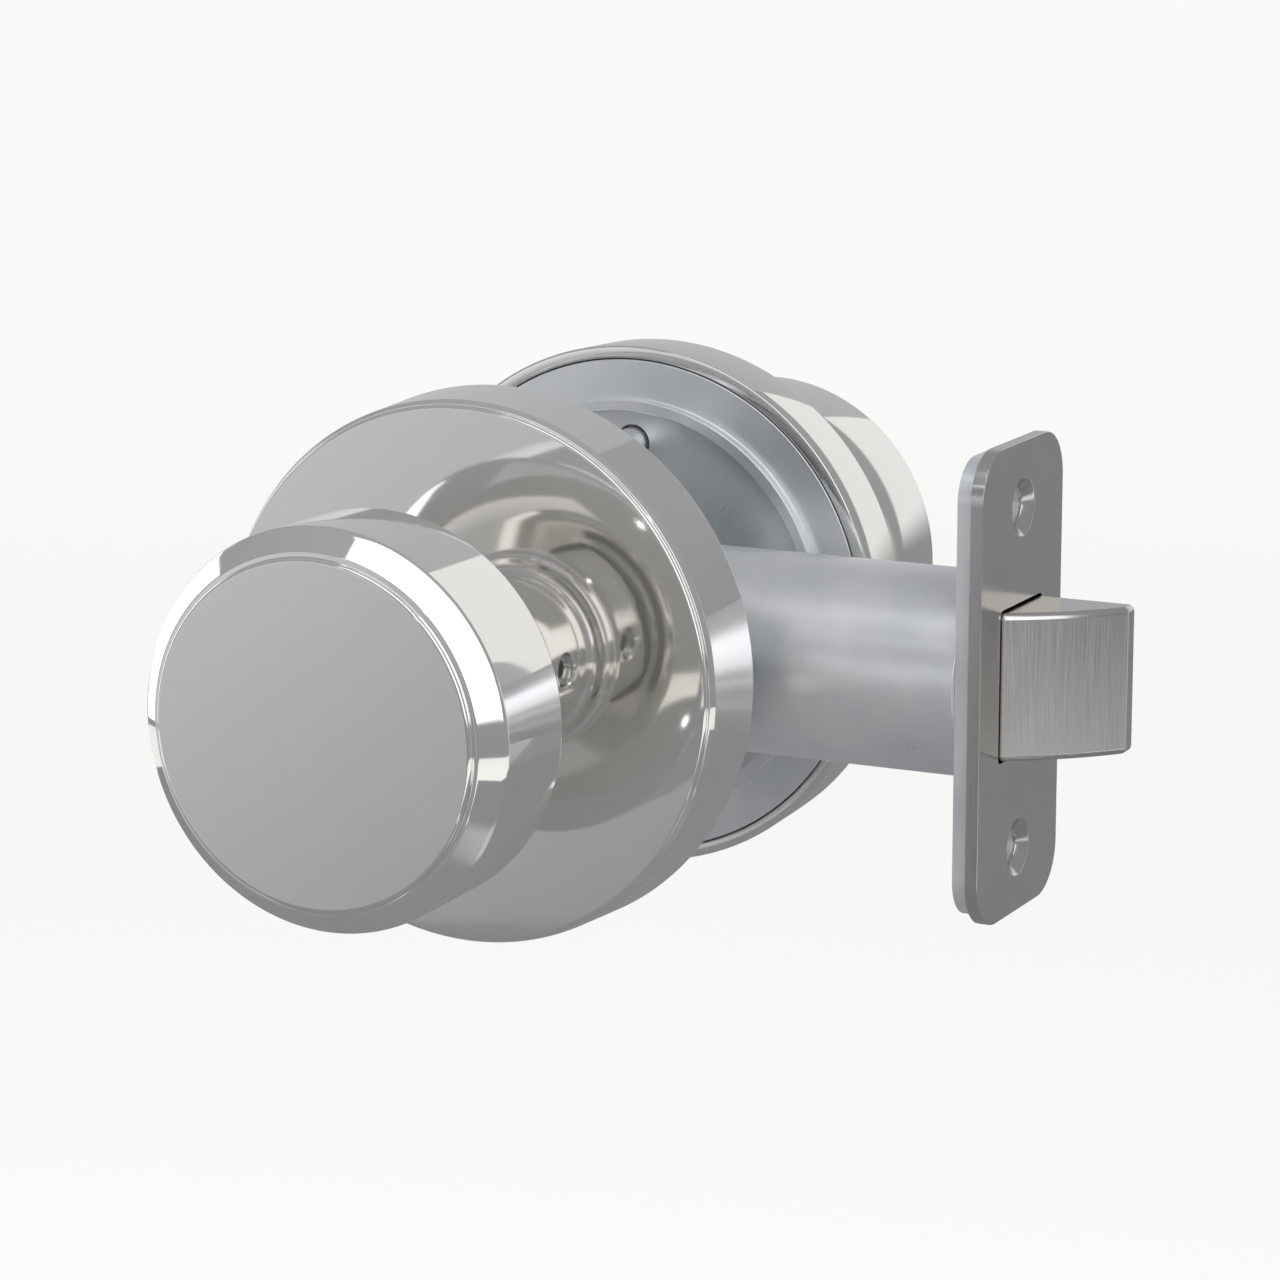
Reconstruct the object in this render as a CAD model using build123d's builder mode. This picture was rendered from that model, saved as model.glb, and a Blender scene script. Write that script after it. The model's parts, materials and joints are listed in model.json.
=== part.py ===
"""Interior door knob lock: two round knobs on roses, and the tubular latch between them.

Frame: millimetres, +Z up. The knob spindle lies on the Y axis and the middle of the door's
thickness is y = 0. The outside knob faces -Y, the inside knob +Y, and the latch bolt points +X.
Along the spindle, a depth t is measured outwards from the face of the door.
"""

import os
from math import cos, radians, sin, sqrt

from build123d import *

os.makedirs("parts", exist_ok=True)

# The door that the lock is made for
door_thickness = 35.0
cross_bore_r = 27.0
edge_bore_r = 12.7
backset = 60.0

# Clearances
slip_gap = 0.05
run_gap = 0.3
bore_gap = 0.3

# Knob
knob_r = 23.5
knob_projection = 46.0
knob_face_inset = 3.15
knob_face_edge = 0.45
knob_step = 0.75
knob_ledge_inset = 2.55
knob_chamfer_inset = 0.3
knob_chamfer_length = 2.05
knob_corner = 0.35
knob_wall_length = 13.7
knob_wall_draft = 0.2
knob_back_edge = 0.9
knob_back_fall = 1.7
knob_back_flat_inset = 7.7
neck_r = 10.0
neck_fillet = 1.0
collar_step = 2.2
collar_length = 2.0
collar_edge = 0.7
fine_edge = 0.1
small_edge = 0.25
spindle_socket_extra = 1.0

# Set screw
set_screw_r = 2.0
set_screw_length = 5.0
set_screw_hex = 2.1
set_screw_hex_depth = 2.5
set_screw_hole_r = 2.05
set_screw_countersink = 0.35
countersink_taper = 45.0

# Rose
rose_r = 33.35
rose_depth = 11.0
rose_face_inset = 1.0
rose_face_edge = 0.35
rose_step = 0.6
rose_ledge_inset = 0.75
rose_chamfer_length = 0.85
rose_wall_draft = 0.4
rose_wall = 1.6
rose_face_wall = 1.4
rose_inner_fillet = 0.8
rose_hole_gap = 0.35

# Mounting plate and its fixings
plate_wall = 2.0
plate_gap = 0.15
locating_ring_wall = 1.5
locating_ring_height = 1.5
fixing_centres = 42.0
post_r = 3.6
post_spigot_r = 2.6
post_length = 25.0
fixing_screw_r = 2.0
fixing_screw_length = 22.0
fixing_screw_head_r = 3.9
fixing_screw_head_height = 2.3
fixing_screw_slot = 1.0

# Spring cage, drive cam and return spring
cage_gap = 0.5
cage_wall = 1.2
cage_ear_x = 22.5
cage_ear_r = 3.4
rivet_r = 1.5
rivet_head_r = 2.6
rivet_head_height = 0.9
rivet_head_taper = 20.0
bush_wall = 1.0
bush_flange = 1.4
bush_flange_height = 1.2
neck_in_bush = 2.4
cam_sleeve_r = 8.7
cam_sleeve_end = 1.9
drum_r = 11.2
drum_gap = 0.2
drum_end = 6.8
lug_end = 5.2
lug_half_width = 1.5
coil_wire_r = 0.6
coil_r = 14.2
coil_whole_turns = 3
leg_angle = 11.0
retaining_ring_r = 11.0
retaining_ring_groove_r = 7.8
retaining_ring_wall = 1.1

# Spindle
spindle_side = 8.0
spindle_edge = 0.4
spindle_in_door_face = 30.0

# Latch
knob_turn = 66.0
bolt_throw = 12.0
bolt_width = 12.7
bolt_height = 17.8
bolt_length = 23.0
bolt_nose = 2.6
bolt_edge = 0.8
bolt_bevel_r = 38.1
faceplate_height = 57.0
faceplate_width = 25.4
faceplate_corner = 6.0
faceplate_wall = 1.6
backing_wall = 2.0
backing_margin = 1.0
latch_screw_centres = 41.3
latch_screw_r = 2.3
latch_countersink_r = 3.5
tube_wall = 1.1
case_wall = 1.5
case_bore_gap = 0.5
hub_barrel_r = 7.2
hub_journal_r = 6.5
finger_width = 2.0
finger_tip_r = 1.1
finger_root_r = 1.6
finger_root_lean = 14.0
finger_room = 2.5
tail_wall = 1.8
tail_half_height = 3.2
tail_slot_half_height = 1.8
tail_end_land = 1.65
tail_in_bolt = 7.0
tail_pin_r = 1.2
arm_wall = 1.0
arm_window_margin = 2.1
arm_front_margin = 2.6
arm_front_land = 1.2
hook_wall = 2.0
hook_half_height = 1.5
lug_wall = 2.5
lug_under_tip = 0.3
lug_over_tip = 0.55
latch_spring_wire_r = 0.55
latch_spring_r = 6.0
latch_spring_turns = 7.0
seat_wall = 1.5

# Places worked out from the sizes above
half_door = door_thickness / 2
spindle_hole = spindle_side + 2 * slip_gap
collar_r = neck_r + collar_step
bush_r = neck_r + bush_wall
bush_flange_r = neck_r + bush_flange
neck_end = rose_depth - rose_face_wall - slip_gap - neck_in_bush
knob_rim = knob_projection - knob_step - knob_chamfer_length
knob_back = knob_rim - knob_wall_length
knob_foot = knob_back - knob_back_fall
set_screw_depth = (rose_depth + knob_foot) / 2
cage_front = rose_depth - rose_face_wall
leg_r = drum_r + coil_wire_r + run_gap
tab_inner_r = drum_r + run_gap
tab_outer_r = leg_r + coil_wire_r
plate_r = rose_r - rose_wall - plate_gap
fixing_z = fixing_centres / 2
cage_r = fixing_z - fixing_screw_head_r - cage_gap
x_face = backset
x_backing = x_face - faceplate_wall
x_tube_front = x_backing - backing_wall
x_bolt_rear = x_face + bolt_throw - bolt_length
x_seat_front = x_bolt_rear - 2 * bolt_throw - 2 * run_gap
x_seat_rear = x_seat_front - seat_wall
finger_reach = bolt_throw / (2 * sin(radians(knob_turn / 2)))
finger_lean = knob_turn / 2
x_finger_tip = finger_reach * sin(radians(finger_lean))
z_finger_tip = finger_reach * cos(radians(finger_lean))
x_lug_front = x_finger_tip - finger_tip_r - run_gap
x_tube_rear = finger_reach + finger_tip_r + finger_room
tube_r = edge_bore_r - bore_gap
tube_inner_r = tube_r - tube_wall
finger_y = run_gap
arm_inner_y = finger_y + finger_width + run_gap
arm_outer_y = arm_inner_y + arm_wall
cheek_inner_y = arm_outer_y + run_gap
cheek_outer_y = cheek_inner_y + case_wall
window_half_height = hub_barrel_r + run_gap
arm_half_height = sqrt((tube_inner_r - run_gap) ** 2 - arm_outer_y**2)
x_window_rear = -(hub_barrel_r + run_gap)
x_arm_rear = x_window_rear - arm_window_margin
x_window_front = hub_barrel_r + bolt_throw + 2 * run_gap
x_arm_shoulder = x_window_front + arm_front_margin
x_arm_front = x_bolt_rear - bolt_throw - run_gap - slip_gap
x_hook_front = x_arm_front - arm_front_land
x_hook_rear = x_hook_front - hook_wall
x_slot_rear = x_hook_rear - slip_gap
x_slot_front = x_hook_front + bolt_throw + run_gap
x_tail_rear = x_slot_rear - tail_end_land
x_case_rear = x_arm_rear - bolt_throw - run_gap


def y_out(t):
    """World Y of a depth t outside the door's outer face."""
    return -(half_door + t)


def facing_out(t):
    """Plane across the spindle at depth t, its normal pointing out of the door (-Y)."""
    return Plane.XZ.offset(half_door + t)


def both_sides(name, piece):
    """Writes the outside piece and its mirror image for the inside of the door."""
    piece.part.label = "outside_" + name
    export_step(piece.part, "parts/outside_" + name + ".step")
    with BuildPart() as inside:
        mirror(piece.part, about=Plane.XZ)
    inside.part.label = "inside_" + name
    export_step(inside.part, "parts/inside_" + name + ".step")


def save(name, piece):
    piece.part.label = name
    export_step(piece.part, "parts/" + name + ".step")


def coil(radius, wire_r, height, turns):
    """Round wire wound about the Z axis, starting on the X axis."""
    with BuildLine() as path:
        Helix(height / turns, height, radius)
    with BuildSketch(Plane(origin=path.line @ 0, z_dir=path.line % 0)) as section:
        Circle(wire_r)
    sweep(section.sketch, path=path.line, is_frenet=True)


def turned(rows):
    """Turns a profile about the spindle. A row is a radius, a depth and the corner's rounding."""
    corners = [(radius, y_out(depth)) for radius, depth, rounding in rows]
    roundings = [rounding for radius, depth, rounding in rows[1:-1]]
    with BuildSketch(Plane.XY) as profile:
        with BuildLine():
            outline = FilletPolyline(corners, radius=roundings)
            Line(outline @ 1, outline @ 0)
        make_face()
    revolve(profile.sketch, axis=Axis.Y)


# Knob: a turned brass head and neck in one piece, with a square socket for the spindle.
knob_rows = [
    (0, knob_projection, 0),
    (knob_r - knob_face_inset, knob_projection, knob_face_edge),
    (knob_r - knob_face_inset, knob_projection - knob_step, fine_edge),
    (knob_r - knob_ledge_inset, knob_projection - knob_step, fine_edge),
    (knob_r - knob_chamfer_inset, knob_rim, small_edge),
    (knob_r, knob_rim - knob_corner, small_edge),
    (knob_r - knob_wall_draft, knob_back, knob_back_edge),
    (knob_r - knob_back_flat_inset, knob_foot, small_edge),
    (collar_r, knob_foot, small_edge),
    (collar_r, knob_foot - collar_length, collar_edge),
    (neck_r, knob_foot - collar_length, neck_fillet),
    (neck_r, neck_end, small_edge),
    (0, neck_end, 0),
]
with BuildPart() as knob:
    turned(knob_rows)
    with BuildSketch(facing_out(neck_end)):
        Rectangle(spindle_hole, spindle_hole)
    extrude(amount=spindle_in_door_face + spindle_socket_extra - neck_end, mode=Mode.SUBTRACT)
    screw_mouth = Plane(
        origin=(neck_r, y_out(set_screw_depth), 0), x_dir=(0, 0, 1), z_dir=(1, 0, 0)
    )
    with BuildSketch(screw_mouth):
        Circle(set_screw_hole_r)
    extrude(amount=-(neck_r - spindle_side / 4), mode=Mode.SUBTRACT)
    with BuildSketch(screw_mouth):
        Circle(set_screw_hole_r + set_screw_countersink)
    extrude(amount=-set_screw_countersink, taper=countersink_taper, mode=Mode.SUBTRACT)
both_sides("knob", knob)

# Set screw: a hex-socket grub screw that grips the spindle through the neck.
with BuildPart() as set_screw:
    with BuildSketch(Plane.YZ.offset(spindle_side / 2)):
        with Locations((y_out(set_screw_depth), 0)):
            Circle(set_screw_r)
    extrude(amount=set_screw_length)
    chamfer(set_screw.edges().filter_by(GeomType.CIRCLE), length=set_screw_countersink)
    with BuildSketch(Plane.YZ.offset(spindle_side / 2 + set_screw_length)):
        with Locations((y_out(set_screw_depth), 0)):
            RegularPolygon(set_screw_hex / 2, 6, major_radius=False)
    extrude(amount=-set_screw_hex_depth, mode=Mode.SUBTRACT)
both_sides("set_screw", set_screw)

# Rose: a deep stamped cover with a stepped and chamfered front edge.
rose_rim = rose_depth - rose_step - rose_chamfer_length
rose_rows = [
    (neck_r + rose_hole_gap, rose_depth, 0),
    (rose_r - rose_face_inset, rose_depth, rose_face_edge),
    (rose_r - rose_face_inset, rose_depth - rose_step, fine_edge),
    (rose_r - rose_ledge_inset, rose_depth - rose_step, fine_edge),
    (rose_r - rose_wall_draft, rose_rim, fine_edge),
    (rose_r, 0, small_edge),
    (rose_r - rose_wall, 0, small_edge),
    (rose_r - rose_wall - rose_wall_draft, cage_front, rose_inner_fillet),
    (neck_r + rose_hole_gap, cage_front, 0),
]
with BuildPart() as rose:
    turned(rose_rows)
both_sides("rose", rose)

# Rose bush: a flanged plastic ring in which the neck turns.
with BuildPart() as bush:
    with BuildSketch(facing_out(neck_end)):
        Circle(bush_flange_r)
        Circle(neck_r + slip_gap, mode=Mode.SUBTRACT)
    extrude(amount=bush_flange_height)
    with BuildSketch(facing_out(neck_end + bush_flange_height)):
        Circle(bush_r)
        Circle(neck_r + slip_gap, mode=Mode.SUBTRACT)
    extrude(amount=neck_in_bush - bush_flange_height)
both_sides("rose_bush", bush)

# Spring cage: a cup over the spring, with two ears riveted to the mounting plate. A tab inside
# its front holds one leg of the spring while the cam turns the other.
with BuildPart() as cage:
    with BuildSketch(facing_out(plate_wall)):
        Circle(cage_r)
    extrude(amount=cage_front - plate_wall)
    with BuildSketch(facing_out(plate_wall)):
        with Locations((-cage_ear_x, 0), (cage_ear_x, 0)):
            Circle(cage_ear_r)
        Rectangle(2 * cage_ear_x, 2 * cage_ear_r)
    extrude(amount=cage_wall)
    with BuildSketch(facing_out(plate_wall)):
        Circle(cage_r - cage_wall)
    extrude(amount=cage_front - cage_wall - plate_wall, mode=Mode.SUBTRACT)
    with BuildSketch(facing_out(plate_wall)):
        Circle(bush_r + slip_gap)
    extrude(amount=cage_front - plate_wall, mode=Mode.SUBTRACT)
    with BuildSketch(facing_out(plate_wall)):
        with Locations((-cage_ear_x, 0), (cage_ear_x, 0)):
            Circle(rivet_r)
    extrude(amount=cage_wall, mode=Mode.SUBTRACT)
    with BuildSketch(facing_out(lug_end + run_gap)):
        with Locations((0, (tab_inner_r + tab_outer_r) / 2)):
            Rectangle(2 * lug_half_width, tab_outer_r - tab_inner_r)
    extrude(amount=cage_front - cage_wall - lug_end - run_gap)
both_sides("spring_cage", cage)

# Cage rivets: two to each cage, through the plate.
with BuildPart() as rivets:
    with BuildSketch(facing_out(0)):
        with Locations((-cage_ear_x, 0), (cage_ear_x, 0)):
            Circle(rivet_r)
    extrude(amount=plate_wall + cage_wall)
    with BuildSketch(facing_out(plate_wall + cage_wall)):
        with Locations((-cage_ear_x, 0), (cage_ear_x, 0)):
            Circle(rivet_head_r)
    extrude(amount=rivet_head_height, taper=rivet_head_taper)
both_sides("cage_rivets", rivets)

# Drive cam: a sleeve on the spindle that turns in the plate, with a lug between the spring's legs.
drum_start = plate_wall + drum_gap
with BuildPart() as cam:
    with BuildSketch(facing_out(-cam_sleeve_end)):
        Circle(cam_sleeve_r)
    extrude(amount=cam_sleeve_end + drum_start)
    with BuildSketch(facing_out(drum_start)):
        Circle(drum_r)
    extrude(amount=drum_end - drum_start)
    with BuildSketch(facing_out(drum_start)):
        with Locations((0, tab_outer_r / 2)):
            Rectangle(2 * lug_half_width, tab_outer_r)
    extrude(amount=lug_end - drum_start)
    with BuildSketch(facing_out(-retaining_ring_wall - run_gap)):
        Circle(drum_r)
        Circle(retaining_ring_groove_r - slip_gap, mode=Mode.SUBTRACT)
    extrude(amount=retaining_ring_wall + slip_gap, mode=Mode.SUBTRACT)
    with BuildSketch(facing_out(-cam_sleeve_end)):
        Rectangle(spindle_hole, spindle_hole)
    extrude(amount=cam_sleeve_end + drum_end, mode=Mode.SUBTRACT)
both_sides("drive_cam", cam)

# Retaining ring: an open spring ring in the cam's groove, behind the plate.
with BuildPart() as ring:
    with BuildSketch(facing_out(-retaining_ring_wall - run_gap + slip_gap / 2)):
        Circle(retaining_ring_r)
        Circle(retaining_ring_groove_r, mode=Mode.SUBTRACT)
        with Locations((0, -retaining_ring_r)):
            Rectangle(retaining_ring_r / 2, 2 * retaining_ring_r, mode=Mode.SUBTRACT)
    extrude(amount=retaining_ring_wall)
both_sides("retaining_ring", ring)

# Return spring: three turns of wire round the cam's drum. Its two ends turn in and run along the
# drum, one each side of the cam's lug and of the cage's tab.
coil_height = cage_front - cage_wall - plate_wall - 2 * (coil_wire_r + run_gap)
coil_turns = coil_whole_turns - 2 * leg_angle / 360
with BuildPart() as wire:
    coil(coil_r, coil_wire_r, coil_height, coil_turns)
    for wound in (0, 360 * coil_turns):
        inward = Location((0, 0, 0), (0, 0, wound))
        end_z = wound / 360 / coil_turns * coil_height
        with Locations(inward * Location(((coil_r + leg_r) / 2, 0, end_z), (0, 90, 0))):
            Cylinder(coil_wire_r, coil_r - leg_r)
        with Locations(inward * Location((leg_r, 0, end_z))):
            Sphere(coil_wire_r)
        with Locations(inward * Location((leg_r, 0, coil_height / 2))):
            Cylinder(coil_wire_r, coil_height)
first_leg = (-sin(radians(leg_angle)), 0, cos(radians(leg_angle)))
with BuildPart() as return_spring:
    coil_place = Plane(
        origin=(0, y_out(plate_wall + run_gap + coil_wire_r), 0), x_dir=first_leg, z_dir=(0, -1, 0)
    )
    with Locations(coil_place):
        add(wire.part)
both_sides("return_spring", return_spring)


def mounting_plate(hole_r):
    """Steel disc behind a rose, with a ring that centres it in the door's cross bore."""
    with BuildPart() as plate:
        with BuildSketch(facing_out(0)):
            Circle(plate_r)
        extrude(amount=plate_wall)
        with BuildSketch(facing_out(0)):
            Circle(cross_bore_r - bore_gap)
            Circle(cross_bore_r - bore_gap - locating_ring_wall, mode=Mode.SUBTRACT)
        extrude(amount=-locating_ring_height)
        with BuildSketch(facing_out(0)):
            Circle(cam_sleeve_r + slip_gap)
            with Locations((0, fixing_z), (0, -fixing_z)):
                Circle(hole_r)
            with Locations((-cage_ear_x, 0), (cage_ear_x, 0)):
                Circle(rivet_r)
        extrude(amount=plate_wall, mode=Mode.SUBTRACT)
    return plate


# The outside plate holds the posts' spigots, and the inside plate lets the screws through.
outside_plate = mounting_plate(post_spigot_r)
save("outside_mounting_plate", outside_plate)
with BuildPart() as inside_plate:
    mirror(mounting_plate(fixing_screw_r + run_gap).part, about=Plane.XZ)
save("inside_mounting_plate", inside_plate)

# Posts and fixing screws: they pull the two plates together, above and below the latch.
for place, z in (("upper", fixing_z), ("lower", -fixing_z)):
    with BuildPart() as post:
        with BuildSketch(facing_out(0)):
            with Locations((0, z)):
                Circle(post_r)
        extrude(amount=-post_length)
        with BuildSketch(facing_out(0)):
            with Locations((0, z)):
                Circle(post_spigot_r)
        extrude(amount=plate_wall)
        with BuildSketch(facing_out(-post_length)):
            with Locations((0, z)):
                Circle(fixing_screw_r + slip_gap)
        extrude(amount=post_length - plate_wall, mode=Mode.SUBTRACT)
    save(place + "_post", post)
    head_y = half_door + plate_wall
    with BuildPart() as screw:
        with BuildSketch(Plane.XZ.offset(-head_y)):
            with Locations((0, z)):
                Circle(fixing_screw_r)
        extrude(amount=fixing_screw_length)
        with BuildSketch(Plane.XZ.offset(-head_y)):
            with Locations((0, z)):
                Circle(fixing_screw_head_r)
        extrude(amount=-fixing_screw_head_height)
        fillet(
            screw.faces().sort_by(Axis.Y)[-1].edges(), radius=fixing_screw_head_height / 2
        )
        with BuildSketch(Plane.XZ.offset(-head_y - fixing_screw_head_height)):
            with Locations((0, z)):
                Rectangle(2 * fixing_screw_head_r, fixing_screw_slot)
                Rectangle(fixing_screw_slot, 2 * fixing_screw_head_r)
        extrude(amount=fixing_screw_head_height / 2, mode=Mode.SUBTRACT)
    save(place + "_fixing_screw", screw)

# Spindle: one square bar through both knobs, both cams and the latch hub.
with BuildPart() as spindle:
    with BuildSketch(facing_out(spindle_in_door_face)):
        Rectangle(spindle_side, spindle_side)
    extrude(amount=-2 * (half_door + spindle_in_door_face))
    chamfer(spindle.edges().filter_by(Axis.Y), length=spindle_edge)
save("spindle", spindle)


def across(x_from, x_to, y_from, y_to, half_height, mode=Mode.ADD):
    """Block across the latch between two places in X and in Y, as high above the axis as below."""
    with BuildSketch(Plane.XY.offset(-half_height)) as footprint:
        with Locations(((x_from + x_to) / 2, (y_from + y_to) / 2)):
            Rectangle(x_to - x_from, y_to - y_from)
    extrude(footprint.sketch, amount=2 * half_height, mode=mode)


# Latch hub: turned by the spindle, with two fingers that lean forward when the latch is out.
with BuildPart() as hub:
    with BuildSketch(Plane.XZ.offset(-cheek_outer_y)):
        Circle(hub_journal_r)
    extrude(amount=2 * cheek_outer_y)
    with BuildSketch(Plane.XZ.offset(-arm_outer_y - run_gap / 2)):
        Circle(hub_barrel_r)
    extrude(amount=2 * arm_outer_y + run_gap)
    with BuildSketch(Plane.XZ.offset(-finger_y - finger_width)):
        Circle(hub_journal_r)
    extrude(amount=finger_width)
    for side in (1, -1):
        root_angle = radians(finger_lean + finger_root_lean)
        root = (hub_journal_r * sin(root_angle), side * hub_journal_r * cos(root_angle))
        with BuildSketch(Plane.XZ.offset(-finger_y - finger_width)):
            with Locations(root):
                Circle(finger_root_r)
            with Locations((x_finger_tip, side * z_finger_tip)):
                Circle(finger_tip_r)
            make_hull()
        extrude(amount=finger_width)
    with BuildSketch(Plane.XZ.offset(-cheek_outer_y)):
        Rectangle(spindle_hole, spindle_hole)
    extrude(amount=2 * cheek_outer_y, mode=Mode.SUBTRACT)
save("latch_hub", hub)

# Retractor: a folded frame round the hub. The fingers push its two lugs back, and its hook draws
# the bolt's tail.
z_lug_low = z_finger_tip - lug_under_tip
z_lug_high = finger_reach + lug_over_tip
with BuildPart() as retractor:
    with BuildSketch(Plane.XZ.offset(-arm_outer_y)):
        with Locations(((x_arm_rear + x_arm_shoulder) / 2, 0)):
            Rectangle(x_arm_shoulder - x_arm_rear, 2 * arm_half_height)
        with Locations(((x_arm_shoulder + x_arm_front) / 2, 0)):
            Rectangle(x_arm_front - x_arm_shoulder, 2 * tail_half_height)
        with Locations((x_lug_front - lug_wall / 2, 0)):
            Rectangle(lug_wall, 2 * z_lug_high)
        with Locations(((x_window_rear + x_window_front) / 2, 0)):
            Rectangle(
                x_window_front - x_window_rear, 2 * window_half_height, mode=Mode.SUBTRACT
            )
    extrude(amount=2 * arm_outer_y)
    across(x_arm_rear, x_arm_front, -arm_inner_y, arm_inner_y, finger_reach * 2, Mode.SUBTRACT)
    across(x_hook_rear, x_hook_front, -arm_outer_y, arm_outer_y, hook_half_height)
    for side in (1, -1):
        with BuildSketch(Plane.XZ.offset(-arm_outer_y)):
            with Locations((x_lug_front - lug_wall / 2, side * (z_lug_low + z_lug_high) / 2)):
                Rectangle(lug_wall, z_lug_high - z_lug_low)
        extrude(amount=2 * arm_outer_y)
save("retractor", retractor)

# Latch case: two cheeks that carry the hub, folded from one strip round the back.
case_half_height = edge_bore_r - case_bore_gap
case_neck_half_height = sqrt((tube_inner_r - run_gap) ** 2 - cheek_outer_y**2)
with BuildPart() as case:
    across(x_case_rear - case_wall, x_tube_rear, -cheek_outer_y, cheek_outer_y, case_half_height)
    across(x_tube_rear, x_seat_rear, -cheek_outer_y, cheek_outer_y, case_neck_half_height)
    across(
        x_case_rear, x_seat_rear, -cheek_inner_y, cheek_inner_y, 2 * edge_bore_r, Mode.SUBTRACT
    )
    fillet(
        case.edges().filter_by(Axis.Z).group_by(Axis.X)[0], radius=case_wall - slip_gap
    )
    with BuildSketch(Plane.XZ.offset(-cheek_outer_y)):
        Circle(hub_journal_r + slip_gap)
    extrude(amount=2 * cheek_outer_y, mode=Mode.SUBTRACT)
save("latch_case", case)

# Latch tube: it fills the bore in the door's edge and guides the bolt.
with BuildPart() as tube:
    with BuildSketch(Plane.YZ.offset(x_tube_rear)):
        Circle(tube_r)
        Circle(tube_inner_r, mode=Mode.SUBTRACT)
    extrude(amount=x_tube_front - x_tube_rear)
save("latch_tube", tube)

# Spring seat: a disc across the tube that the latch spring pushes against.
with BuildPart() as seat:
    with BuildSketch(Plane.YZ.offset(x_seat_rear)):
        Circle(tube_inner_r - slip_gap)
        Rectangle(
            2 * (arm_outer_y + run_gap), 2 * (tail_half_height + run_gap), mode=Mode.SUBTRACT
        )
    extrude(amount=seat_wall)
save("spring_seat", seat)

# Latch spring: a coil spring round the tail, from the seat to the back of the bolt.
spring_length = x_bolt_rear - x_seat_front - 2 * latch_spring_wire_r - 2 * slip_gap
with BuildPart() as wire:
    coil(latch_spring_r, latch_spring_wire_r, spring_length, latch_spring_turns)
with BuildPart() as latch_spring:
    with Locations(Plane.YZ.offset(x_seat_front + latch_spring_wire_r + slip_gap)):
        add(wire.part)
save("latch_spring", latch_spring)

# Latch bolt: a cast head, bevelled on the side that meets the frame as the door shuts.
half_width = bolt_width / 2
with BuildPart() as bolt:
    with BuildSketch(Plane.XY.offset(-bolt_height / 2)):
        with BuildLine():
            nose = (x_face + bolt_throw, half_width - bolt_nose)
            bevel_start = (x_face + run_gap, -half_width)
            Polyline(
                bevel_start,
                (x_bolt_rear, -half_width),
                (x_bolt_rear, half_width),
                (x_face + bolt_throw, half_width),
                nose,
            )
            RadiusArc(nose, bevel_start, bolt_bevel_r)
        make_face()
    extrude(amount=bolt_height)
    fillet(bolt.edges().filter_by(Axis.Z).group_by(Axis.X)[-1], radius=bolt_edge)
    fillet(bolt.faces().sort_by(Axis.Z)[-1].edges(), radius=bolt_edge)
    fillet(bolt.faces().sort_by(Axis.Z)[0].edges(), radius=bolt_edge)
    across(
        x_bolt_rear,
        x_bolt_rear + tail_in_bolt,
        -finger_y - tail_wall - slip_gap,
        -finger_y + slip_gap,
        tail_half_height + slip_gap,
        Mode.SUBTRACT,
    )
    with BuildSketch(Plane.XZ.offset(-half_width)):
        with Locations((x_bolt_rear + tail_in_bolt / 2, 0)):
            Circle(tail_pin_r)
    extrude(amount=bolt_width, mode=Mode.SUBTRACT)
save("latch_bolt", bolt)

# Bolt tail: a flat strip with the long slot that lets the bolt be pushed in on its own.
with BuildPart() as tail:
    across(
        x_tail_rear,
        x_bolt_rear + tail_in_bolt - slip_gap,
        -finger_y - tail_wall,
        -finger_y,
        tail_half_height,
    )
    across(x_slot_rear, x_slot_front, -half_width, half_width, tail_slot_half_height, Mode.SUBTRACT)
    with BuildSketch(Plane.XZ.offset(-half_width)):
        with Locations((x_bolt_rear + tail_in_bolt / 2, 0)):
            Circle(tail_pin_r)
    extrude(amount=bolt_width, mode=Mode.SUBTRACT)
save("bolt_tail", tail)

with BuildPart() as tail_pin:
    with BuildSketch(Plane.XZ.offset(-half_width)):
        with Locations((x_bolt_rear + tail_in_bolt / 2, 0)):
            Circle(tail_pin_r)
    extrude(amount=bolt_width)
save("tail_pin", tail_pin)


def latch_plate(x, wall, margin):
    """Plate in the door's edge, with the bolt's opening and two screw holes."""
    with BuildPart() as plate:
        with BuildSketch(Plane.YZ.offset(x)):
            RectangleRounded(
                faceplate_width - 2 * margin,
                faceplate_height - 2 * margin,
                faceplate_corner - margin,
            )
            RectangleRounded(
                bolt_width + 2 * run_gap,
                bolt_height + 2 * run_gap,
                bolt_edge,
                mode=Mode.SUBTRACT,
            )
            with Locations((0, latch_screw_centres / 2), (0, -latch_screw_centres / 2)):
                Circle(latch_screw_r, mode=Mode.SUBTRACT)
        extrude(amount=wall)
    return plate


backing_plate = latch_plate(x_tube_front, backing_wall, backing_margin)
save("backing_plate", backing_plate)

# Faceplate: countersunk for the two wood screws that hold the latch.
with BuildPart() as faceplate:
    add(latch_plate(x_backing, faceplate_wall, 0).part)
    for z in (latch_screw_centres / 2, -latch_screw_centres / 2):
        with BuildSketch(Plane.YZ.offset(x_face)):
            with Locations((0, z)):
                Circle(latch_countersink_r)
        extrude(
            amount=-(latch_countersink_r - latch_screw_r),
            taper=countersink_taper,
            mode=Mode.SUBTRACT,
        )
save("faceplate", faceplate)
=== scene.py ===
"""Interior door knob lock: the finish of every piece, and the studio that it is seen in.

Everything is in metres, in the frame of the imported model: +Z up, the spindle along Y, the outside
knob facing -Y and the latch bolt pointing +X.
"""

import json
import math

import bpy
from mathutils import Matrix, Quaternion, Vector


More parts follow.
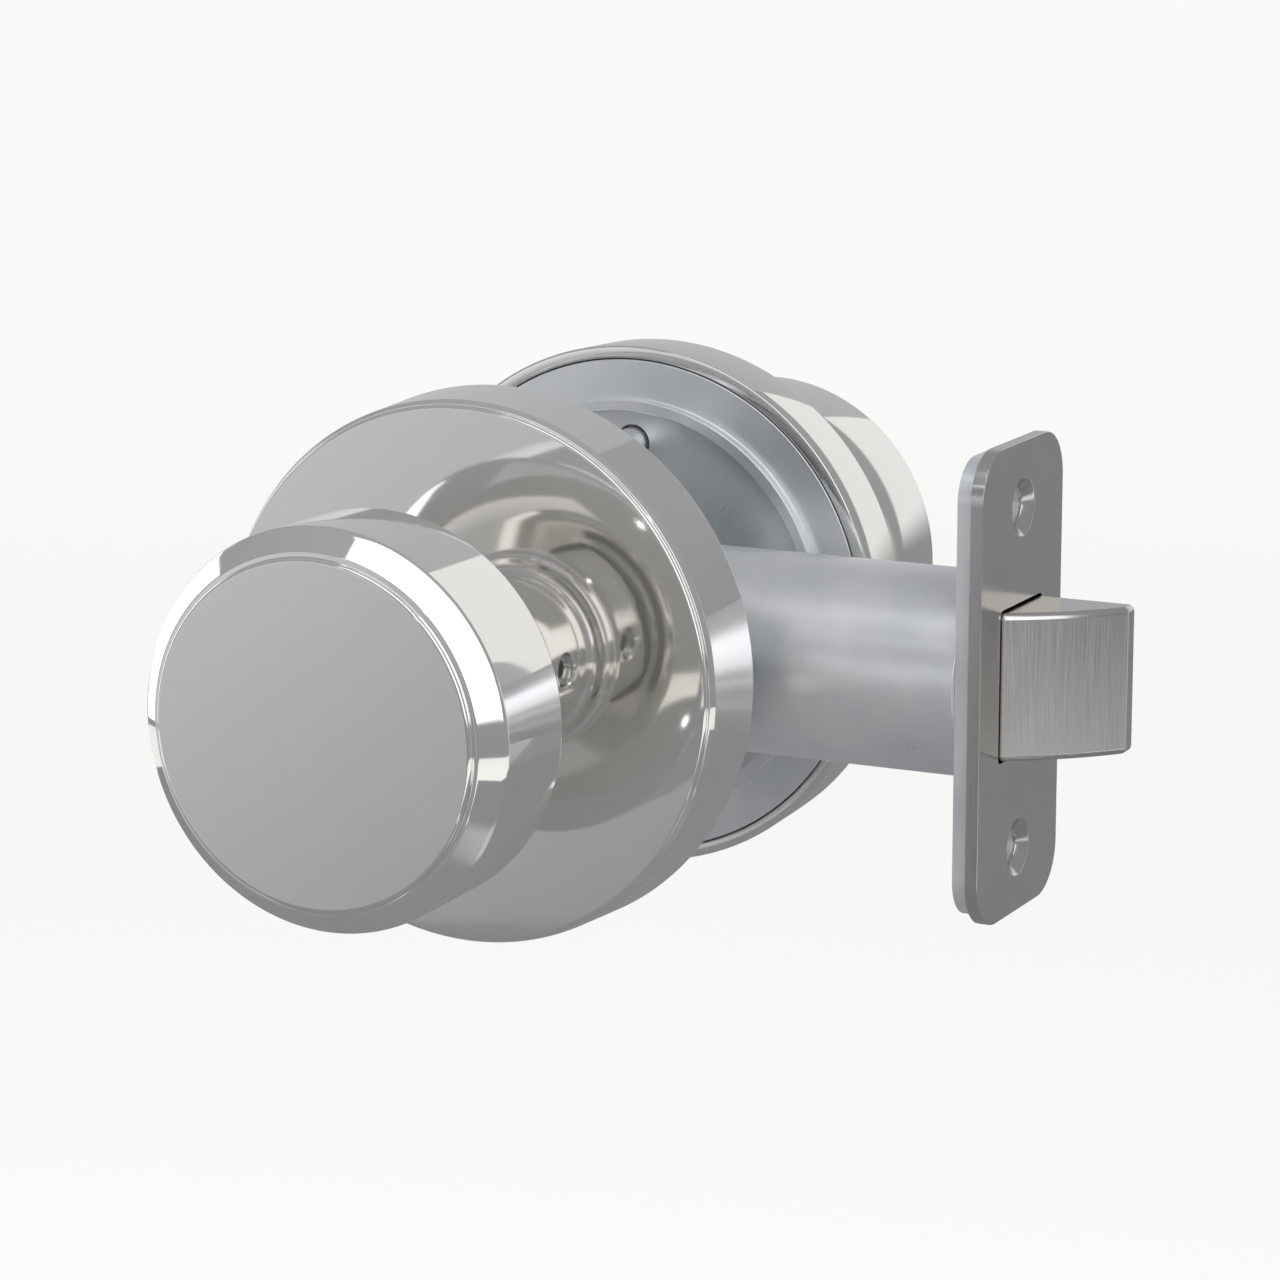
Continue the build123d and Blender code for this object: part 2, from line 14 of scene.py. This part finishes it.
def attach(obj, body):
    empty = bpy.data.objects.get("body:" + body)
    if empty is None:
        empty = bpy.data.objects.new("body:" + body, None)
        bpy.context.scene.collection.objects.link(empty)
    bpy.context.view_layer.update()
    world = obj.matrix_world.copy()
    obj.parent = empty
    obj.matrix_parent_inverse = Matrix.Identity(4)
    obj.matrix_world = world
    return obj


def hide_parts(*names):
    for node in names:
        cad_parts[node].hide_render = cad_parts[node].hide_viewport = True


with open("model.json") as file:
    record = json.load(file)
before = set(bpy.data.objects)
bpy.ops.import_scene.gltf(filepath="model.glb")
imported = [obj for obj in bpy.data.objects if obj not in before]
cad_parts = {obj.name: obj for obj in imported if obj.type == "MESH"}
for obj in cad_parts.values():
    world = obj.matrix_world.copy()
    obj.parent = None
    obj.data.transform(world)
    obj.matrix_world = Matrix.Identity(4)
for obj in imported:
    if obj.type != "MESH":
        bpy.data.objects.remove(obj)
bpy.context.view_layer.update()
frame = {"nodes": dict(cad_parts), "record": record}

MM = 0.001
DOOR_FACE_Y = -17.5 * MM

# Turned shapes, in millimetres. Each row is a radius, a depth and the rounding of that corner, and
# a depth is measured outwards from the door's face.
POLE_R = 0.02  # a small hole round the axis, closed by a face once the shape is turned

FACE_R = 20.35
FACE_DEPTH = 46.0
FACE_STEP_DEPTH = 45.25
BACK_RIM_R = 23.3
BACK_RIM_DEPTH = 29.6
BACK_FLAT_R = 15.8
BACK_FLAT_DEPTH = 27.8
COLLAR_R = 12.2
COLLAR_DEPTH = 25.8
NECK_R = 10.0
NECK_FOOT_DEPTH = 7.15

# The slope of the knob's back, slightly crowned, so that its image in the rose has soft curves
CROWN_STEPS = 12
CROWN_POWER = 2
BACK_CROWN = [
    (
        BACK_FLAT_R + (BACK_RIM_R - BACK_FLAT_R) * step / CROWN_STEPS,
        BACK_FLAT_DEPTH + (BACK_RIM_DEPTH - BACK_FLAT_DEPTH) * (step / CROWN_STEPS) ** CROWN_POWER,
        0,
    )
    for step in range(CROWN_STEPS - 1, 0, -1)
]
KNOB_ROWS = [
    (POLE_R, FACE_DEPTH, 0),
    (FACE_R, FACE_DEPTH, 0.45),
    (FACE_R, FACE_STEP_DEPTH, 0.1),
    (20.95, FACE_STEP_DEPTH, 0.1),  # the chamfer's inner edge
    (23.2, 43.2, 0.25),  # its outer edge
    (23.5, 42.85, 0.25),  # the widest ring, from which the wall tapers to the back
    (BACK_RIM_R, BACK_RIM_DEPTH, 0.25),
    *BACK_CROWN,
    (BACK_FLAT_R, BACK_FLAT_DEPTH, 0),
    (COLLAR_R, BACK_FLAT_DEPTH, 0.25),
    (COLLAR_R, COLLAR_DEPTH, 0.7),
    (NECK_R, COLLAR_DEPTH, 1.0),
    (NECK_R, NECK_FOOT_DEPTH, 0.25),
    (POLE_R, NECK_FOOT_DEPTH, 0),
]

ROSE_HOLE_R = 10.35
ROSE_FACE_R = 32.35
ROSE_DEPTH = 11.0
ROSE_STEP_DEPTH = 10.4
ROSE_INNER_DEPTH = 9.6
ROSE_ROWS = [
    (ROSE_HOLE_R, ROSE_INNER_DEPTH, 0),
    (ROSE_HOLE_R, ROSE_DEPTH, 0),
    (ROSE_FACE_R, ROSE_DEPTH, 0.35),
    (ROSE_FACE_R, ROSE_STEP_DEPTH, 0.1),
    (32.6, ROSE_STEP_DEPTH, 0.1),  # the chamfer's inner edge
    (32.95, 9.55, 0.1),  # its outer edge, from which the wall widens to the door
    (33.35, 0, 0.25),
    (31.75, 0, 0.25),  # the wall's inner side
    (31.35, ROSE_INNER_DEPTH, 0.8),
    (ROSE_HOLE_R, ROSE_INNER_DEPTH, 0),
]

# The set screw's hole is halfway along the free neck. Its depths are measured outwards from the
# spindle's axis.
SCREW_Y = DOOR_FACE_Y - (ROSE_DEPTH + BACK_FLAT_DEPTH) / 2 * MM
SCREW_HOLE_R = 2.05
SCREW_HOLE_START = 3.0
SCREW_HOLE_END = 11.0  # 1 mm outside the neck
SCREW_HOLE_ROWS = [
    (POLE_R, SCREW_HOLE_START, 0),
    (SCREW_HOLE_R, SCREW_HOLE_START, 0),
    (SCREW_HOLE_R, 9.65, 0),  # the start of the countersink
    (3.4, SCREW_HOLE_END, 0),
    (POLE_R, SCREW_HOLE_END, 0),
]

SEGMENTS = 256
ROUNDING_SEGMENTS = 6
SAME_PLACE = 0.003 * MM
TURNED_WELD = 0.001 * MM
PACKED_WELD = 0.002 * MM
SHARP_ANGLE = math.radians(35)  # edges under this angle are shaded smooth
BEVEL_ANGLE = math.radians(30)  # edges over this angle are broken
FLAT_ANGLE = math.radians(0.3)  # faces under this angle become one

# How much of their edges the other pieces lose, in millimetres. Wire has no edges, and the bolt's
# are already round.
PAIR_EDGES = {
    "rose_bush": 0.1,
    "mounting_plate": 0.15,
    "spring_cage": 0.1,
    "cage_rivets": 0.15,
    "drive_cam": 0.12,
    "retaining_ring": 0.08,
    "set_screw": 0.04,
    "return_spring": 0,
}
SINGLE_EDGES = {
    "upper_post": 0.15,
    "lower_post": 0.15,
    "upper_fixing_screw": 0.08,
    "lower_fixing_screw": 0.08,
    "spindle": 0.06,
    "latch_hub": 0.12,
    "retractor": 0.1,
    "latch_case": 0.12,
    "latch_tube": 0.12,
    "spring_seat": 0.1,
    "latch_spring": 0,
    "latch_bolt": 0,
    "bolt_tail": 0.1,
    "tail_pin": 0.08,
    "backing_plate": 0.15,
    "faceplate": 0.25,
}

# Most of a noise lies in this part of its range from 0 to 1
NOISE_SPAN = (0.3, 0.7)

# Studio: lengths in metres, and brightness as a share of white
COOL_WHITE = "#F5F5FB"
WARM_WHITE = "#FDFCFB"
PAPER_WHITE = "#FAFAF9"
FLOOR_TONE = "#F2F1EF"
FLOOR_Z = -0.3
FLOOR_SIZE = 60
SHADOW_SHARE = 0.2  # how much of the floor under the object is lit by the lamps
SHADOW_REACH = (0.6, 2.0)  # where that share starts to fall, and where it is gone
SKY_FILL = 0.5  # the world's strength for the rays that light surfaces
HARD_SIDE = 0.001  # the share of a card that a side without fading takes

# The view that the photograph was taken from
VIEW_AZIMUTH = 28.1
VIEW_ELEVATION = 12.4
VIEW_DISTANCE = 0.55
VIEW_LENS = 128.0
SENSOR_WIDTH = 36.0
VIEWED_FROM = Vector((0.0, -0.0175, 0.0))
AIMED_AT = Vector((0.011, -0.0026, 0.0004))


def direction(azimuth, elevation):
    """Unit vector out of the object. Azimuth 0 is straight in front of the outside knob."""
    a, e = math.radians(azimuth), math.radians(elevation)
    return Vector((math.sin(a) * math.cos(e), -math.cos(a) * math.cos(e), math.sin(e)))


def deselect_all():
    bpy.ops.object.select_all(action="DESELECT")


def select_only(obj):
    deselect_all()
    obj.select_set(True)
    bpy.context.view_layer.objects.active = obj


def edit_all(obj):
    """Enters edit mode with the whole mesh of that object selected."""
    select_only(obj)
    bpy.ops.object.mode_set(mode="EDIT")
    bpy.ops.mesh.select_all(action="SELECT")


def apply_modifier(obj, kind, **settings):
    """Adds a modifier with its settings and applies it."""
    select_only(obj)
    bpy.ops.object.modifier_add(type=kind)
    modifier = obj.modifiers[-1]
    for name, value in settings.items():
        setattr(modifier, name, value)
    bpy.ops.object.modifier_apply(modifier=modifier.name)


# Materials


def linear(colour):
    """Linear RGBA of an sRGB hex colour."""
    channels = [int(colour[i : i + 2], 16) / 255 for i in (1, 3, 5)]
    return [c / 12.92 if c <= 0.04045 else ((c + 0.055) / 1.055) ** 2.4 for c in channels] + [1.0]


def node(tree, kind, inputs=None, **settings):
    """Adds a node, sets its properties, and fills or links its input sockets by name.

    A node among the inputs is linked from its first output that is in use.
    """
    made = tree.nodes.new(kind)
    for name, value in settings.items():
        setattr(made, name, value)
    for name, value in (inputs or {}).items():
        if isinstance(value, bpy.types.Node):
            value = next(output for output in value.outputs if output.enabled)
        if isinstance(value, bpy.types.NodeSocket):
            tree.links.new(value, made.inputs[name])
        else:
            made.inputs[name].default_value = value
    return made


def new_material(name):
    material = bpy.data.materials.new(name)
    material.use_nodes = True
    tree = material.node_tree
    tree.nodes.clear()
    return material, tree


def grain(tree, size, detail, stretch=(1, 1, 1)):
    """Noise whose features are about that many millimetres, longer along a stretched axis."""
    place = node(tree, "ShaderNodeTexCoord")
    scale = [1 / (size * MM * times) for times in stretch]
    mapped = node(
        tree, "ShaderNodeMapping", {"Vector": place.outputs["Object"], "Scale": scale}
    )
    return node(tree, "ShaderNodeTexNoise", {"Vector": mapped, "Scale": 1.0, "Detail": detail})


def finish(name, patterns, tone, shine, relief, more, tone_span=(0.0, 1.0)):
    """A surface whose tone, roughness and relief each follow a noise.

    patterns gives each noise its name, size, detail and stretch. tone is a noise's name and the
    colours at the ends of tone_span, shine a name and the roughness at the ends of NOISE_SPAN,
    relief a name and its depth in millimetres, and more holds further inputs of the surface.
    """
    material, tree = new_material(name)
    noise = {key: grain(tree, *pattern) for key, pattern in patterns.items()}
    blend = node(
        tree,
        "ShaderNodeMapRange",
        {"Value": noise[tone[0]], "From Min": tone_span[0], "From Max": tone_span[1]},
    )
    colour = node(
        tree,
        "ShaderNodeMix",
        {"Factor": blend, "A": linear(tone[1]), "B": linear(tone[2])},
        data_type="RGBA",
    )
    roughness = node(
        tree,
        "ShaderNodeMapRange",
        {
            "Value": noise[shine[0]],
            "From Min": NOISE_SPAN[0],
            "From Max": NOISE_SPAN[1],
            "To Min": shine[1],
            "To Max": shine[2],
        },
    )
    normal = node(
        tree,
        "ShaderNodeBump",
        {"Height": noise[relief[0]], "Distance": relief[1] * MM, "Strength": 1.0},
    )
    surface = node(
        tree,
        "ShaderNodeBsdfPrincipled",
        {"Base Color": colour, "Roughness": roughness, "Normal": normal, **more},
    )
    node(tree, "ShaderNodeOutputMaterial", {"Surface": surface})
    return material


FINISHES = {
    # Nickel plate over buffed brass: a neutral mirror with a slight haze. The lines of the mop are
    # drawn coarser than they are, so that they show. The small share that isn't metal lets light
    # out of the gap between knob and rose, where mirrors alone would use up the bounces.
    "polished_nickel": finish(
        "polished_nickel",
        {"haze": (14, 3.0), "mop_lines": (0.12, 2.0, (1, 1, 60))},
        tone=("haze", "#EBEAE6", "#EFEEEB"),
        shine=("haze", 0.035, 0.07),
        relief=("mop_lines", 0.00004),
        more={"Metallic": 0.96},
    ),
    # Nickel plate over linished brass: upright lines that catch the light, a little coarser than
    # those of the belt, so that they show
    "nickel_plated_latch": finish(
        "nickel_plated_latch",
        {"haze": (9, 3.0), "belt_lines": (0.09, 3.0, (1, 1, 90))},
        tone=("haze", "#CFCDC9", "#D9D7D3"),
        shine=("belt_lines", 0.13, 0.26),
        relief=("belt_lines", 0.0006),
        more={"Metallic": 1.0},
    ),
    # Pressed steel with bright zinc: cool and slightly cloudy, because its clear passivated skin
    # scatters some of the light. The rolling lines are drawn coarser than they are.
    "zinc_plated_steel": finish(
        "zinc_plated_steel",
        {"cloud": (9, 2.0), "rolling_lines": (0.2, 3.0, (80, 1, 1))},
        tone=("cloud", "#D9DDDF", "#E6E8E8"),
        shine=("cloud", 0.27, 0.36),
        relief=("rolling_lines", 0.0012),
        more={"Metallic": 0.88},
        tone_span=NOISE_SPAN,
    ),
    # Hard drawn wire: darker, with a smooth oiled skin and small marks from the die
    "spring_steel": finish(
        "spring_steel",
        {"skin": (1.2, 4.0)},
        tone=("skin", "#77787B", "#96979A"),
        shine=("skin", 0.2, 0.36),
        relief=("skin", 0.003),
        more={"Metallic": 1.0},
        tone_span=NOISE_SPAN,
    ),
    # Turned steel of the set screws: bright, with the fine marks of the tool
    "bright_steel": finish(
        "bright_steel",
        {"tool_marks": (0.15, 2.0, (12, 1, 1))},
        tone=("tool_marks", "#C6C7C9", "#D6D7D8"),
        shine=("tool_marks", 0.12, 0.2),
        relief=("tool_marks", 0.001),
        more={"Metallic": 1.0},
    ),
    # Moulded acetal: a waxy white skin. The spark-eroded texture of the mould is drawn coarser
    # than it is, so that it shows.
    "white_acetal": finish(
        "white_acetal",
        {"cloud": (8, 2.0), "texture": (0.25, 3.0)},
        tone=("cloud", "#E4E1D8", "#ECEAE3"),
        shine=("texture", 0.36, 0.5),
        relief=("texture", 0.004),
        more={"Subsurface Weight": 0.15, "Subsurface Radius": (0.002, 0.002, 0.002)},
    ),
}
slot_of = {part["node"]: part["material_slot"] for part in frame["record"]["subparts"]}
body_of = {
    name: body
    for body, names in frame["record"]["behaviour"]["bodies"].items()
    for name in names
}


def dress(piece, *nodes):
    """Gives a new piece the finish, body and place of the nodes that it stands for."""
    slot = slot_of[nodes[0]]
    piece.data.materials.clear()
    piece.data.materials.append(FINISHES[slot])
    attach(piece, body_of[nodes[0]])
    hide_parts(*nodes)


def smoothed(piece, weight):
    """Smooth shading that keeps flat faces flat and true edges sharp."""
    select_only(piece)
    bpy.ops.object.shade_smooth_by_angle(angle=SHARP_ANGLE)
    apply_modifier(piece, "WEIGHTED_NORMAL", weight=weight, keep_sharp=True)


# Turned pieces: the knobs with their necks, and the roses


def round_ring(piece, radius, y, rounding):
    """Bevels the ring of edges at that radius and place."""
    on_ring = [
        abs(v.co.y - y) < SAME_PLACE and abs(math.hypot(v.co.x, v.co.z) - radius) < SAME_PLACE
        for v in piece.data.vertices
    ]
    for edge in piece.data.edges:
        edge.select = all(on_ring[i] for i in edge.vertices)
    bpy.ops.object.mode_set(mode="EDIT")
    bpy.ops.mesh.select_mode(type="EDGE")
    bpy.ops.mesh.bevel(
        offset=rounding, segments=ROUNDING_SEGMENTS, profile=0.5, clamp_overlap=False
    )
    bpy.ops.mesh.select_all(action="DESELECT")
    bpy.ops.object.mode_set(mode="OBJECT")


def turned(name, rows, foot=DOOR_FACE_Y):
    """A closed turned shell about the spindle, its depths measured outwards from the foot."""
    rings = [(radius * MM, foot - depth * MM, rounding * MM) for radius, depth, rounding in rows]
    deselect_all()
    radius, y, rounding = rings[0]
    bpy.ops.mesh.primitive_circle_add(
        vertices=SEGMENTS, radius=radius, location=(0, y, 0), rotation=(math.pi / 2, 0, 0)
    )
    piece = bpy.context.object
    piece.name = name
    bpy.ops.object.transform_apply(location=True, rotation=True, scale=True)
    bpy.ops.object.mode_set(mode="EDIT")
    bpy.ops.mesh.select_mode(type="EDGE")
    bpy.ops.mesh.select_all(action="SELECT")
    for next_radius, next_y, rounding in rings[1:]:
        bpy.ops.mesh.extrude_edges_move(TRANSFORM_OT_translate={"value": (0, next_y - y, 0)})
        if next_radius != radius:
            share = next_radius / radius
            bpy.ops.transform.resize(value=(share, 1, share), center_override=(0, next_y, 0))
        radius, y = next_radius, next_y
    bpy.ops.mesh.select_all(action="SELECT")
    bpy.ops.mesh.remove_doubles(threshold=TURNED_WELD)
    bpy.ops.mesh.select_all(action="DESELECT")
    bpy.ops.object.mode_set(mode="OBJECT")
    for radius, y, rounding in rings:
        if rounding:
            round_ring(piece, radius, y, rounding)
    edit_all(piece)
    bpy.ops.mesh.fill_holes(sides=0)
    bpy.ops.mesh.normals_make_consistent(inside=False)
    bpy.ops.object.mode_set(mode="OBJECT")
    return piece


def drill_for_screw(piece):
    """Cuts the countersunk hole of the set screw into the neck, towards the door's edge."""
    drill = turned("drill", SCREW_HOLE_ROWS, foot=0)
    drill.rotation_euler = (0, 0, math.pi / 2)
    drill.location = (0, SCREW_Y, 0)
    apply_modifier(piece, "BOOLEAN", object=drill, operation="DIFFERENCE", solver="EXACT")
    bpy.data.objects.remove(drill)


def inside_copy(piece, name):
    """The mirror image of an outside piece, for the inside of the door."""
    select_only(piece)
    bpy.ops.object.duplicate()
    copy = bpy.context.object
    copy.name = name
    copy.data.transform(Matrix.Scale(-1, 4, (0, 1, 0)))
    edit_all(copy)
    bpy.ops.mesh.flip_normals()
    bpy.ops.object.mode_set(mode="OBJECT")
    return copy


for part, rows in (("knob", KNOB_ROWS), ("rose", ROSE_ROWS)):
    outside = turned("outside_" + part + "_turned", rows)
    if part == "knob":
        drill_for_screw(outside)
    smoothed(outside, weight=100)
    inside = inside_copy(outside, "inside_" + part + "_turned")
    dress(outside, "outside_" + part)
    dress(inside, "inside_" + part)


# Pressed, cast and drawn pieces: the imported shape, welded, with its edges broken as in the shop


def refined(name, edge):
    """A welded copy of a node with soft edges of that many millimetres, in the node's place."""
    source = frame["nodes"][name]
    copy = bpy.data.objects.new(name + "_finished", source.data.copy())
    bpy.context.scene.collection.objects.link(copy)
    edit_all(copy)
    bpy.ops.mesh.remove_doubles(threshold=PACKED_WELD)
    bpy.ops.mesh.dissolve_limited(angle_limit=FLAT_ANGLE)
    bpy.ops.object.mode_set(mode="OBJECT")
    if edge:
        apply_modifier(
            copy,
            "BEVEL",
            width=edge * MM,
            segments=3,
            limit_method="ANGLE",
            angle_limit=BEVEL_ANGLE,
            use_clamp_overlap=True,
            harden_normals=False,
            miter_outer="MITER_ARC",
        )
    smoothed(copy, weight=80)
    dress(copy, name)


for part, edge in PAIR_EDGES.items():
    refined("outside_" + part, edge)
    refined("inside_" + part, edge)
for part, edge in SINGLE_EDGES.items():
    refined(part, edge)


# Studio


def glowing(name, levels, soft=(0, 0), colour=COOL_WHITE, up="Y"):
    """Light that goes from one level to the other up the object, and fades out at its sides.

    soft is the share of its width and of its height that the fading takes at either side.
    """
    material, tree = new_material(name)
    place = node(tree, "ShaderNodeTexCoord")
    axes = node(tree, "ShaderNodeSeparateXYZ", {"Vector": place.outputs["Generated"]})
    level = node(
        tree,
        "ShaderNodeMapRange",
        {"Value": axes.outputs[up], "To Min": levels[0], "To Max": levels[1]},
    )
    glow = node(tree, "ShaderNodeEmission", {"Color": linear(colour), "Strength": level})
    if not any(soft):
        node(tree, "ShaderNodeOutputMaterial", {"Surface": glow})
        return material
    fades = []
    for axis, share in zip(("X", "Y"), soft):
        from_side = node(
            tree, "ShaderNodeMath", {0: axes.outputs[axis], 1: 0.5}, operation="PINGPONG"
        )
        fade = node(
            tree,
            "ShaderNodeMapRange",
            {"Value": from_side, "From Max": max(share, HARD_SIDE)},
            interpolation_type="SMOOTHSTEP",
        )
        fades.append(fade)
    shown = node(tree, "ShaderNodeMath", {0: fades[0], 1: fades[1]}, operation="MULTIPLY")
    clear = node(tree, "ShaderNodeBsdfTransparent")
    mixed = node(tree, "ShaderNodeMixShader", {0: shown, 1: clear, 2: glow})
    node(tree, "ShaderNodeOutputMaterial", {"Surface": mixed})
    return material


def only_reflected(obj):
    """Leaves the object to be seen in the metal alone, with no shadow and no light on others."""
    obj.visible_camera = False
    obj.visible_shadow = False
    obj.visible_diffuse = False


def card(name, place, size, levels, soft=(0, 0), roll=0, colour=COOL_WHITE, disc=False):
    """A lit or dark card that faces the object, seen only as a reflection.

    place is its azimuth, elevation and distance, size its width and height, levels how bright its
    lower and upper edges are, and roll its turn in its own plane.
    """
    azimuth, elevation, distance = place
    toward = direction(azimuth, elevation)
    upright = toward.to_track_quat("Z", "Y")
    deselect_all()
    if disc:
        bpy.ops.mesh.primitive_circle_add(vertices=96, radius=0.5, fill_type="NGON")
    else:
        bpy.ops.mesh.primitive_plane_add(size=1)
    plane = bpy.context.object
    plane.name = name
    plane.scale = (size[0], size[1], 1)
    plane.rotation_mode = "QUATERNION"
    plane.rotation_quaternion = upright @ Quaternion((0, 0, 1), math.radians(roll))
    plane.location = toward * distance
    plane.data.materials.append(glowing(name, levels, soft, colour))
    only_reflected(plane)


def walls(name, radius, levels, below=None):
    """Grey walls right round the object, or only the bowl below a height, seen as a reflection."""
    deselect_all()
    bpy.ops.mesh.primitive_uv_sphere_add(segments=64, ring_count=32, radius=radius)
    sphere = bpy.context.object
    sphere.name = name
    if below is not None:
        edit_all(sphere)
        bpy.ops.mesh.bisect(plane_co=(0, 0, below), plane_no=(0, 0, 1), clear_outer=True)
        bpy.ops.object.mode_set(mode="OBJECT")
    bpy.ops.object.shade_smooth()
    sphere.data.materials.append(glowing(name, levels, up="Z"))
    only_reflected(sphere)


def seen_directly(tree):
    """1 for rays that come from the camera, a mirror or glass, and 0 for those that light."""
    path = node(tree, "ShaderNodeLightPath")
    seen = path.outputs["Is Camera Ray"]
    for ray in ("Is Glossy Ray", "Is Transmission Ray"):
        seen = node(tree, "ShaderNodeMath", {0: seen, 1: path.outputs[ray]}, operation="MAXIMUM")
    return seen


def floor():
    """Pale floor: mostly its own tone, with the object's soft shadow near by and none far off."""
    deselect_all()
    bpy.ops.mesh.primitive_plane_add(size=FLOOR_SIZE, location=(0, 0, FLOOR_Z))
    plane = bpy.context.object
    plane.name = "floor"
    material, tree = new_material("pale_floor")
    surface = node(
        tree,
        "ShaderNodeBsdfPrincipled",
        {"Base Color": linear(FLOOR_TONE), "Roughness": 0.8, "Specular IOR Level": 0.1},
    )
    glow = node(tree, "ShaderNodeEmission", {"Color": linear(PAPER_WHITE), "Strength": 1.0})
    place = node(tree, "ShaderNodeTexCoord")
    away = node(tree, "ShaderNodeVectorMath", {0: place.outputs["Object"]}, operation="LENGTH")
    own = node(
        tree,
        "ShaderNodeMapRange",
        {
            "Value": away,
            "From Min": SHADOW_REACH[0],
            "From Max": SHADOW_REACH[1],
            "To Min": 1 - SHADOW_SHARE,
            "To Max": 1.0,
        },
    )
    share = node(tree, "ShaderNodeMath", {0: seen_directly(tree), 1: own}, operation="MULTIPLY")
    mixed = node(tree, "ShaderNodeMixShader", {0: share, 1: surface, 2: glow})
    node(tree, "ShaderNodeOutputMaterial", {"Surface": mixed})
    plane.data.materials.append(material)


def background():
    """White to the camera and to mirrors, and a gentle fill for everything else."""
    world = bpy.data.worlds.new("studio")
    bpy.context.scene.world = world
    world.use_nodes = True
    tree = world.node_tree
    tree.nodes.clear()
    level = node(tree, "ShaderNodeMapRange", {"Value": seen_directly(tree), "To Min": SKY_FILL})
    sky = node(
        tree, "ShaderNodeBackground", {"Color": linear(PAPER_WHITE), "Strength": level}
    )
    node(tree, "ShaderNodeOutputWorld", {"Surface": sky})


def lamp(name, azimuth, elevation, distance, size, power):
    """Square lamp that faces the object and isn't seen in the metal."""
    deselect_all()
    toward = direction(azimuth, elevation)
    bpy.ops.object.light_add(type="AREA", location=toward * distance)
    light = bpy.context.object
    light.name = name
    light.data.shape = "SQUARE"
    light.data.size = size
    light.data.energy = power
    light.rotation_mode = "QUATERNION"
    light.rotation_quaternion = toward.to_track_quat("Z", "Y")
    light.visible_glossy = False
    light.visible_camera = False


floor()
background()

# The grey of the surround, and a darker bowl that hides the white floor from the lower walls
walls("studio_walls", 1.2, (0.22, 0.4))
walls("low_walls", 0.29, (0.27, 0.27), below=-0.1)

# The bright bands on the chamfers and along the tops of the walls
card("left_box", (-102, 5, 0.9), (0.5, 0.62), (1.7, 1.7))
card("right_box", (45, 26, 0.9), (0.6, 0.95), (1.7, 1.7), soft=(0, 0.06))
card("top_box", (14, 62, 0.9), (0.66, 0.4), (1.7, 1.7))

# The even grey of the flat faces of knob and rose
card("front_grey", (-26, -11.6, 0.85), (0.8, 0.56), (0.0, 0.92), roll=39)

# The knob's wall is lit by the disc behind the door, which is too small for the rose's wall to
# show. The lower card darkens it again from below, and the left one softens its far side.
card("back_disc", (180, 0, 0.9), (1.15, 1.15), (0.9, 0.9), colour=WARM_WHITE, disc=True)
card("back_low", (162, -17, 0.84), (0.75, 0.7), (0.3, 0.3), soft=(0, 0.25))
card("back_left", (-159.5, 13, 0.85), (0.6, 0.8), (0.62, 0.46))

# The right side of the rose's wall, and its lower edge
card("rear_grey", (127, -12, 0.8), (0.52, 0.8), (0.3, 0.85), soft=(0.12, 0))
card("low_right", (55, -45, 0.28), (0.12, 0.1), (0.6, 0.6), soft=(0.3, 0.3))

# Small highlights on the neck, the collar and the rounded edges
card("upper_glint", (5, 22, 0.9), (0.05, 0.05), (9, 9), soft=(0.5, 0.5))
card("left_glint", (-22, 36, 0.9), (0.07, 0.07), (7, 7), soft=(0.5, 0.5))
card("lower_glint", (20, -27, 0.28), (0.02, 0.02), (7, 7), soft=(0.5, 0.5))

lamp("key_lamp", azimuth=40, elevation=50, distance=1.2, size=1.0, power=22.0)
lamp("fill_lamp", azimuth=-60, elevation=40, distance=1.2, size=1.0, power=10.0)


def camera():
    """The photograph's camera, fitted to the circles of its lower left half."""
    data = bpy.data.cameras.new("camera")
    data.sensor_width = SENSOR_WIDTH
    data.lens = VIEW_LENS
    data.clip_start = 0.01
    data.clip_end = 50.0
    eye = bpy.data.objects.new("camera", data)
    bpy.context.scene.collection.objects.link(eye)
    eye.location = VIEWED_FROM + direction(VIEW_AZIMUTH, VIEW_ELEVATION) * VIEW_DISTANCE
    eye.rotation_mode = "QUATERNION"
    eye.rotation_quaternion = (AIMED_AT - eye.location).to_track_quat("-Z", "Y")
    bpy.context.scene.camera = eye


camera()
bpy.context.scene.view_settings.view_transform = "Standard"
